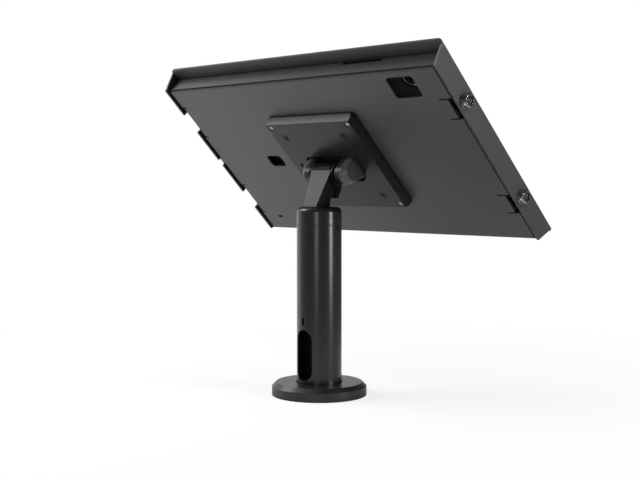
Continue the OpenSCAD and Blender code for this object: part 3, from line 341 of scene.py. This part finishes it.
cover_plastic = moulding("grained_black_abs", "#1a1a1c", 0.27, 0.7, 0.00001, 1.0, 0.3)
cap_plastic = moulding("grained_black_abs_caps", "#505052", 0.3, 0.7, 0.00001, 0.8)
nylon = moulding("black_nylon", "#1d1d1e", 0.5, 0.9, 0.00001, 0.4)
rubber = moulding("black_rubber", "#141415", 0.75, 0.8, 0.00003, 0.5)
print("plastics ready")

# %% [markdown]
# ### Foam
# Closed-cell foam is cut from a block, so its face is a mat of half-open cells that swallows light. Cells
# of this size would take far too many faces in the mesh, so a pattern draws them in the shader.

# %% Foam
CELL_MIDDLE = "#060606"


def cut_foam(name, hex_value, cell_mm):
    """Closed-cell foam: cut cells as small dimples, darker in their middles than along their walls."""
    material, tree, out = new_material(name)
    place = add(tree, "TexCoord").outputs["Object"]
    cells = add(tree, "TexVoronoi", {"Vector": place, "Scale": 1000 / cell_mm})
    colour = add(tree, "Mix", {"Factor": cells.outputs["Distance"], "A": linear(CELL_MIDDLE),
                               "B": linear(hex_value)}, data_type="RGBA")
    bump = add(tree, "Bump", {"Height": cells.outputs["Distance"], "Strength": 0.8, "Distance": 0.0003})
    shader = add(tree, "BsdfPrincipled", {"Base Color": colour.outputs["Result"], "Roughness": 0.95,
                                          "IOR": 1.4, "Specular IOR Level": 0.0,
                                          "Normal": bump.outputs[0]})
    tree.links.new(shader.outputs[0], out.inputs["Surface"])
    return material


foam = cut_foam("black_closed_cell_foam", "#202020", 0.8)
print("foam ready")

# %% [markdown]
# ### Bare and plated metals
# Chrome over turned brass for the locks, zinc over steel for the fasteners inside, the axle and the camera
# ring, bright steel for the four corner screws, and black oxide for the lock cams and the spring washers.
# Plating and handling leave faint marks. Each mark is too small to model, so a noise pattern changes the
# gloss a little from place to place.

# %% Metals
def plated(name, hex_value, roughness, mark_mm):
    """A bare or plated metal: full metallic, with faint marks that change the gloss."""
    material, tree, out = new_material(name)
    place = add(tree, "TexCoord").outputs["Object"]
    soft, edge = broken_edges(tree, 0.25)
    marks = add(tree, "TexNoise", {"Vector": place, "Scale": 1000 / mark_mm, "Detail": 4.0})
    gloss = add(tree, "MapRange", {"Value": marks.outputs[0], "From Min": 0.3, "From Max": 0.7,
                                   "To Min": roughness * 0.8, "To Max": roughness * 1.25})
    rubbed = add(tree, "Math", {0: edge, 1: roughness * 0.3}, operation="MULTIPLY")
    sheen = add(tree, "Math", {0: gloss.outputs[0], 1: rubbed.outputs[0]}, operation="SUBTRACT")
    bump = add(tree, "Bump", {"Height": marks.outputs[0], "Strength": 0.08, "Distance": 0.00001,
                              "Normal": soft})
    shader = add(tree, "BsdfPrincipled", {"Base Color": linear(hex_value), "Metallic": 1.0,
                                          "Roughness": sheen.outputs[0], "Normal": bump.outputs[0]})
    tree.links.new(shader.outputs[0], out.inputs["Surface"])
    return material


chrome = plated("chrome_plate_on_brass", "#b4b5b8", 0.08, 1.2)
bright_steel = plated("bright_steel", "#e4e4e6", 0.25, 0.8)
zinc = plated("zinc_plate_on_steel", "#a9abad", 0.34, 0.9)
black_oxide = plated("black_oxide_on_steel", "#0e0e0f", 0.5, 0.9)
print("metals ready")

# %% [markdown]
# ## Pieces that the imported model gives
# Sheet, tube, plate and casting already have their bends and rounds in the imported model, with exact normals,
# so these nodes stay. Each one only gets its finish, in the material slots of its own object.

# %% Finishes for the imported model's own pieces
finishes = {
    "base_disc": base_coat,
    "base_pad": rubber,
    "foot_screws": zinc,
    "pole_tube": pole_coat,
    "swivel_bush": nylon,
    "head_collar": pole_coat,
    "swivel_washer": zinc,
    "swivel_nut": zinc,
    "neck_bolt": zinc,
    "neck_arm": arm_paint,
    "neck_back_cover": cover_paint,
    "neck_fairing": arm_paint,
    "friction_discs": nylon,
    "spring_washers": black_oxide,
    "tilt_bracket": bracket_paint,
    "left_ear_cap": cap_plastic,
    "right_ear_cap": cap_plastic,
    "tilt_axle": zinc,
    "axle_nut": zinc,
    "bracket_screws": zinc,
    "mounting_plate": base_coat,
    "plate_cover": cover_plastic,
    "press_nuts": zinc,
    "rear_tray": tray_coat,
    "front_cover": enclosure_coat,
    "camera_ring": zinc,
}
for lock in ("upper_lock", "lower_lock"):
    finishes[lock + "_body"] = chrome
    finishes[lock + "_nut"] = chrome
    finishes[lock + "_plug"] = chrome
    finishes[lock + "_cam"] = black_oxide
for node, material in finishes.items():
    for material_slot in nodes[node].material_slots:
        material_slot.material = material
print("finished in place:", len(finishes))

# %% [markdown]
# ## Normals for new pieces
# A new piece has flat faces beside narrow rounds. If every vertex shared one normal, the flats would shade
# as if they bulged. Each corner takes the mean normal of the faces round its vertex that turn less than a
# limit from its own face, each counted by its area, so a large flat face keeps its own normal.

# %% Corner normals by area
def even_normals(mesh, limit):
    """Sets corner normals: the area-weighted mean of the near faces within a limit, in degrees."""
    count = len(mesh.loops)
    vertex = np.empty(count, dtype=np.int32)
    mesh.loops.foreach_get("vertex_index", vertex)
    sizes = np.empty(len(mesh.polygons), dtype=np.int32)
    mesh.polygons.foreach_get("loop_total", sizes)
    face = np.repeat(np.arange(len(sizes)), sizes)
    normals = np.empty(len(sizes) * 3)
    mesh.polygons.foreach_get("normal", normals)
    normals = normals.reshape(-1, 3)
    areas = np.empty(len(sizes))
    mesh.polygons.foreach_get("area", areas)
    order = np.argsort(vertex, kind="stable")
    found = np.bincount(vertex, minlength=len(mesh.vertices))
    first = np.concatenate(([0], np.cumsum(found)[:-1]))
    partners = found[vertex[order]]
    own = np.repeat(order, partners)
    step = np.arange(len(own)) - np.repeat(np.cumsum(partners) - partners, partners)
    other = order[np.repeat(first[vertex[order]], partners) + step]
    near = np.sum(normals[face[own]] * normals[face[other]], axis=1) > math.cos(math.radians(limit))
    total = np.zeros((count, 3))
    np.add.at(total, own[near], normals[face[other[near]]] * areas[face[other[near]], None])
    total /= np.maximum(np.linalg.norm(total, axis=1, keepdims=True), 1e-12)
    mesh.polygons.foreach_set("use_smooth", np.ones(len(sizes), dtype=bool))
    mesh.normals_split_custom_set(total.tolist())


print("even_normals() ready")

# %% [markdown]
# ## Foam pieces
# The liner under the tablet and the gasket round the window are cut from foam sheet. A knife drags the
# skin a little, so the corners are visibly round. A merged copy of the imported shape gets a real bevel,
# which shows in the outline too, as a bevel in the shader would not.

# %% A rounded copy of a foam solid
def rounded_copy(node, material, bevel_mm):
    """Copies a node's mesh, merges its doubles, joins flat triangles, bevels the edges over 30 degrees."""
    mesh = nodes[node].data.copy()
    piece = bpy.data.objects.new(node + "_piece", mesh)
    bpy.context.scene.collection.objects.link(piece)
    form = bmesh.new()
    form.from_mesh(mesh)
    bmesh.ops.remove_doubles(form, verts=form.verts, dist=1e-6)
    bmesh.ops.dissolve_limit(form, angle_limit=math.radians(0.1), verts=form.verts, edges=form.edges)
    corners = [e for e in form.edges if len(e.link_faces) == 2 and e.calc_face_angle() > math.radians(30)]
    bmesh.ops.bevel(form, geom=corners, offset=bevel_mm / 1000, segments=3, profile=0.5, affect="EDGES",
                    clamp_overlap=True)
    form.to_mesh(mesh)
    form.free()
    if mesh.has_custom_normals:
        mesh.attributes.remove(mesh.attributes["custom_normal"])
    even_normals(mesh, limit=60)
    mesh.materials.clear()
    mesh.materials.append(material)
    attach(piece, nodes[node]["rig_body"])
    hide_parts(node)


rounded_copy("foam_liner", foam, 0.8)
rounded_copy("window_gasket", foam, 0.4)
print("foam pieces ready")

# %% [markdown]
# ## Screws
# A screw is turned, so it is a profile carried round an axis. The socket is a hexagon: there the radius
# shrinks between the corners, down to the middle of each flat side. The screws stand square on the sloping
# back panel.

# %% Turned pieces
def turned(profile, foot, steps=48, hexagon=()):
    """A profile of (radius, height) in mm, carried round OUT from a foot on the panel. Angle t gives
    foot + OUT * height + radius * (ACROSS * cos t + UP * sin t). A radius whose number is in hexagon is
    multiplied by cos 30 / cos((t mod 60) - 30), all in degrees: it keeps its length at the six corners, and
    flat sides lie between them."""
    radius, height = np.array(profile, dtype=float).T / 1000
    turn = np.arange(steps) * 2 * math.pi / steps
    flats = 1 / np.cos(np.mod(turn, math.pi / 3) - math.pi / 6)
    spread = np.ones((len(radius), steps))
    spread[list(hexagon)] = flats * math.cos(math.pi / 6)
    reach = radius[:, None] * spread
    grid = (foot + height[:, None, None] * OUT + reach[..., None] *
            (np.cos(turn)[:, None] * ACROSS + np.sin(turn)[:, None] * UP))
    row = np.arange(len(radius) - 1)[:, None] * steps
    column = np.arange(steps)[None, :]
    after = (column + 1) % steps
    quads = np.stack([row + column, row + after, row + steps + after, row + steps + column], axis=-1)
    return grid.reshape(-1, 3), quads.reshape(-1, 4)


def joined(name, parts, material, body, replaced):
    """Puts several closed grids into one mesh, merges their poles and turns every face outwards."""
    grids = [part[0] for part in parts]
    starts = np.cumsum([0] + [len(grid) for grid in grids[:-1]])
    points = np.concatenate(grids)
    faces = np.concatenate([part[1] + start for part, start in zip(parts, starts)])
    mesh = bpy.data.meshes.new(name)
    mesh.from_pydata(points.tolist(), [], faces.tolist())
    form = bmesh.new()
    form.from_mesh(mesh)
    bmesh.ops.remove_doubles(form, verts=form.verts, dist=1e-7)
    bmesh.ops.recalc_face_normals(form, faces=form.faces)
    form.to_mesh(mesh)
    form.free()
    even_normals(mesh, limit=35)
    piece = bpy.data.objects.new(name, mesh)
    bpy.context.scene.collection.objects.link(piece)
    mesh.materials.append(material)
    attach(piece, body)
    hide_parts(replaced)


print("turned() and joined() ready")

# %% [markdown]
# The four bright screws at the plate's corners have low domed heads. The four dark ones inside them have
# flat heads with a rounded rim, sunk into the cover, whose finish they share. Each profile runs from the
# foot's middle, up the shank and the head, over the top and down into the socket. Its heights are measured
# from the tray's back. The third and the second point from its end are the socket's rim and floor.

# %% Corner screws and cover screws
def dome(radius, rim, rise, start, stop, count):
    """Points of a low dome: r falls from start to stop, height is rim + rise * (1 - (r / radius) squared)."""
    r = np.linspace(start, stop, count)
    return np.column_stack([r, rim + rise * (1 - (r / radius) ** 2)])


# In mm: the corner screws' head radius and the top of its rim, and half of each square of screws
HEAD_R = 2.2
RIM_TOP = 8.3
OUTER_SQUARE = 50
INNER_SQUARE = 37.5
SOCKET = (-3, -2)
corner_shank = [(0, -5.5), (1.3, -5.5), (1.5, -5.2), (1.5, 7.2), (2.05, 7.2), (HEAD_R, 7.35),
                (HEAD_R, RIM_TOP)]
corner_dome = dome(HEAD_R, RIM_TOP, 0.8, 2.1, 1.25, 6)
corner_socket = [(1.2, 8.75), (1.2, 7.8), (0, 7.6)]
corner_profile = np.vstack([corner_shank, corner_dome, corner_socket])
corner_parts = [turned(corner_profile, on_panel(x, u, 0), hexagon=SOCKET)
                for x in (-OUTER_SQUARE, OUTER_SQUARE) for u in (-OUTER_SQUARE, OUTER_SQUARE)]
joined("corner_screws_piece", corner_parts, bright_steel, nodes["corner_screws"]["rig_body"],
       "corner_screws")
cover_profile = [(0, 0.2), (2, 0.2), (2, 6.1), (3.5, 6.1), (3.7, 6.3), (3.7, 8.2), (3.62, 8.45), (3.4, 8.58),
                 (3.1, 8.6), (1.5, 8.6), (1.4, 8.5), (1.4, 7.4), (0, 7.2)]
cover_parts = [turned(cover_profile, on_panel(x, u, 0), hexagon=SOCKET)
               for x in (-INNER_SQUARE, INNER_SQUARE) for u in (-INNER_SQUARE, INNER_SQUARE)]
joined("cover_screws_piece", cover_parts, cover_plastic, nodes["cover_screws"]["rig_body"],
       "cover_screws")
print("screws ready")

# %% [markdown]
# ## Floor, background and light
# The photograph is a studio shot: a white sweep, a soft shadow round the base and large soft lights. The
# background shows plain white to the camera, and the lamps stay at a plain level. Gloss sees the studio
# as it is: white where the sweep stands, on the left and behind the object, and darker towards the
# ceiling and the room behind the camera.

# %% White seen by the camera and by gloss
def seen_directly(tree):
    """1 for rays that come from the camera, a glossy surface or a transmission, else 0."""
    path = add(tree, "LightPath")
    some = add(tree, "Math", {0: path.outputs["Is Camera Ray"], 1: path.outputs["Is Glossy Ray"]},
               operation="MAXIMUM")
    return add(tree, "Math", {0: some.outputs[0], 1: path.outputs["Is Transmission Ray"]},
               operation="MAXIMUM").outputs[0]


SWEEP_MIDDLE = (0.969, -0.246, 0.0)


def bright_side(tree, towards):
    """0.15 towards the dark room behind the camera and on its right, 1 towards the sweep on the left and
    behind the object: the cosine between a direction and SWEEP_MIDDLE, smoothed. Towards the ceiling both
    fall to a fifth, by the direction's height."""
    flat = add(tree, "VectorMath", {0: towards}, operation="NORMALIZE").outputs[0]
    along = add(tree, "VectorMath", {0: flat, 1: SWEEP_MIDDLE}, operation="DOT_PRODUCT").outputs["Value"]
    side = add(tree, "MapRange", {"Value": along, "From Min": 0.5, "From Max": 0.9, "To Min": 0.15,
                                  "To Max": 1.0}, interpolation_type="SMOOTHSTEP").outputs[0]
    height = add(tree, "SeparateXYZ", {0: flat}).outputs["Z"]
    ceiling = add(tree, "MapRange", {"Value": height, "From Min": 0.25, "From Max": 0.6, "To Min": 1.0,
                                     "To Max": 0.2}, interpolation_type="SMOOTHSTEP").outputs[0]
    return add(tree, "Math", {0: side, 1: ceiling}, operation="MULTIPLY").outputs[0]


world = bpy.data.worlds.new("studio")
world.use_nodes = True
bpy.context.scene.world = world
world_tree = world.node_tree
world_tree.nodes.clear()
ambient = add(world_tree, "Background", {"Color": linear("#ffffff"), "Strength": 0.08})
to_camera = add(world_tree, "LightPath").outputs["Is Camera Ray"]
sky = add(world_tree, "TexCoord").outputs["Generated"]
whiteness = add(world_tree, "Math", {0: to_camera, 1: bright_side(world_tree, sky)}, operation="MAXIMUM")
backdrop = add(world_tree, "Background", {"Color": linear("#ffffff"), "Strength": whiteness.outputs[0]})
world_mix = add(world_tree, "MixShader", {0: seen_directly(world_tree), 1: ambient.outputs[0],
                                          2: backdrop.outputs[0]})
add(world_tree, "OutputWorld", {"Surface": world_mix.outputs[0]})
print("background ready")

# %% [markdown]
# The floor is white paper. Near the object the camera sees its own shade mixed with a glow, so the shadow
# stays soft and pale. Far from the object the paper fades into the same white as the background.

# %% Floor
FLOOR_HALF = 6.0
FADE_START, FADE_END = 0.15, 0.6
GLOW_SHARE = 0.7
GLOW = 1.09
floor_mesh = bpy.data.meshes.new("paper_floor")
floor_mesh.from_pydata([(-FLOOR_HALF, -FLOOR_HALF, 0), (FLOOR_HALF, -FLOOR_HALF, 0),
                        (FLOOR_HALF, FLOOR_HALF, 0), (-FLOOR_HALF, FLOOR_HALF, 0)], [], [(0, 1, 2, 3)])
floor = bpy.data.objects.new("paper_floor", floor_mesh)
bpy.context.scene.collection.objects.link(floor)
paper, tree, out = new_material("white_paper_sweep")
place = add(tree, "TexCoord").outputs["Object"]
reach = add(tree, "VectorMath", {0: place}, operation="LENGTH").outputs["Value"]
far = add(tree, "MapRange", {"Value": reach, "From Min": FADE_START, "From Max": FADE_END},
          interpolation_type="SMOOTHSTEP").outputs[0]
paper_face = add(tree, "BsdfDiffuse", {"Color": linear("#f4f4f4")})
to_camera = add(tree, "LightPath").outputs["Is Camera Ray"]
share = add(tree, "Math", {0: to_camera, 1: GLOW_SHARE}, operation="MULTIPLY")
glow = add(tree, "Emission", {"Color": linear("#ffffff"), "Strength": GLOW})
near_floor = add(tree, "MixShader", {0: share.outputs[0], 1: paper_face.outputs[0], 2: glow.outputs[0]})
whiteness = add(tree, "Math", {0: to_camera, 1: bright_side(tree, place)}, operation="MAXIMUM")
white = add(tree, "Emission", {"Color": linear("#ffffff"), "Strength": whiteness.outputs[0]})
far_floor = add(tree, "MixShader", {0: seen_directly(tree), 1: paper_face.outputs[0], 2: white.outputs[0]})
floor_mix = add(tree, "MixShader", {0: far, 1: near_floor.outputs[0], 2: far_floor.outputs[0]})
tree.links.new(floor_mix.outputs[0], out.inputs["Surface"])
floor_mesh.materials.append(paper)
print("floor ready")

# %% [markdown]
# Five soft lamps stand round the object. The overhead one fills the top, a narrow strip on the right draws
# the bright line down the pole, and a high one on the left lights the upper edges. A wide wall of light on
# the left only lights the paint. It is hidden from gloss, where the sweep is seen instead. A weak strip
# beside the camera draws the dim line down the pole's middle.

# %% Lamps
def softbox(name, position, target, width, height, watts):
    """A rectangular area lamp that points at a target."""
    data = bpy.data.lights.new(name, "AREA")
    data.shape = "RECTANGLE"
    data.size, data.size_y = width, height
    data.energy = watts
    lamp = bpy.data.objects.new(name, data)
    lamp.location = position
    lamp.rotation_mode = "QUATERNION"
    lamp.rotation_quaternion = (Vector(target) - Vector(position)).to_track_quat("-Z", "Y")
    bpy.context.scene.collection.objects.link(lamp)
    return lamp


softbox("overhead", (0.5, 0.3, 1.4), (0, 0, 0.15), 1.2, 1.2, 4)
softbox("right_strip", (-0.9, -0.29, 0.45), (0, 0, 0.45), 0.13, 0.82, 6.8)
softbox("left_high", (0.86, 0.5, 0.9), (0, 0, 0.25), 0.8, 0.5, 7)
left_wall = softbox("left_wall", (0.88, 0.5, 0.3), (0, 0, 0.2), 1.2, 0.6, 10)
left_wall.visible_glossy = False
softbox("camera_strip", (-0.74, 1.19, 0.25), (0, 0, 0.2), 0.32, 0.45, 1.9)
print("lamps ready")
